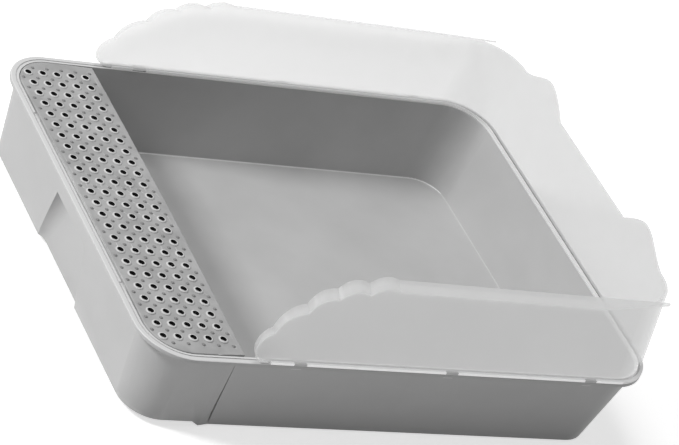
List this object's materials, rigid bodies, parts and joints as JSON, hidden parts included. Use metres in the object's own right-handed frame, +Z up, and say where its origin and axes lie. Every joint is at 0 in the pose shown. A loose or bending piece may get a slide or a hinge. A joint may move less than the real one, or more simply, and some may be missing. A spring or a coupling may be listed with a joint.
{
  "type": "semi-enclosed litter box",
  "caption": "Semi-enclosed litter box: open tray, frosted splash guard that lifts off the rim and a perforated footboard that swings up at the entrance.",
  "frame": {"origin": "under the middle of the box, at the level the feet stand on", "axes": "+X across the box, +Y from the entrance to the back, +Z up"},
  "size_m": [0.386, 0.498, 0.1805],
  "materials": {
    "tray_plastic": "satin moulded",
    "footboard_plastic": "satin moulded",
    "guard_plastic": "frosted translucent",
    "foot_rubber": "matte"
  },
  "bodies": {
    "tray": {"tray": "tray_plastic", "foot_front_left": "foot_rubber", "foot_front_right": "foot_rubber", "foot_back_left": "foot_rubber", "foot_back_right": "foot_rubber"},
    "splash_guard": {"splash_guard": "guard_plastic"},
    "footboard": {"footboard": "footboard_plastic"}
  },
  "joints": [
    {"name": "guard_lift", "type": "slide", "parent": "tray", "child": "splash_guard", "axis": [0, 0, 1], "range_m": [0, 0.1]},
    {"name": "footboard_swing", "type": "hinge", "parent": "tray", "child": "footboard", "pos_m": [0, -0.243, 0.0822], "axis": [1, 0, 0], "range_deg": [0, 80]}
  ]
}
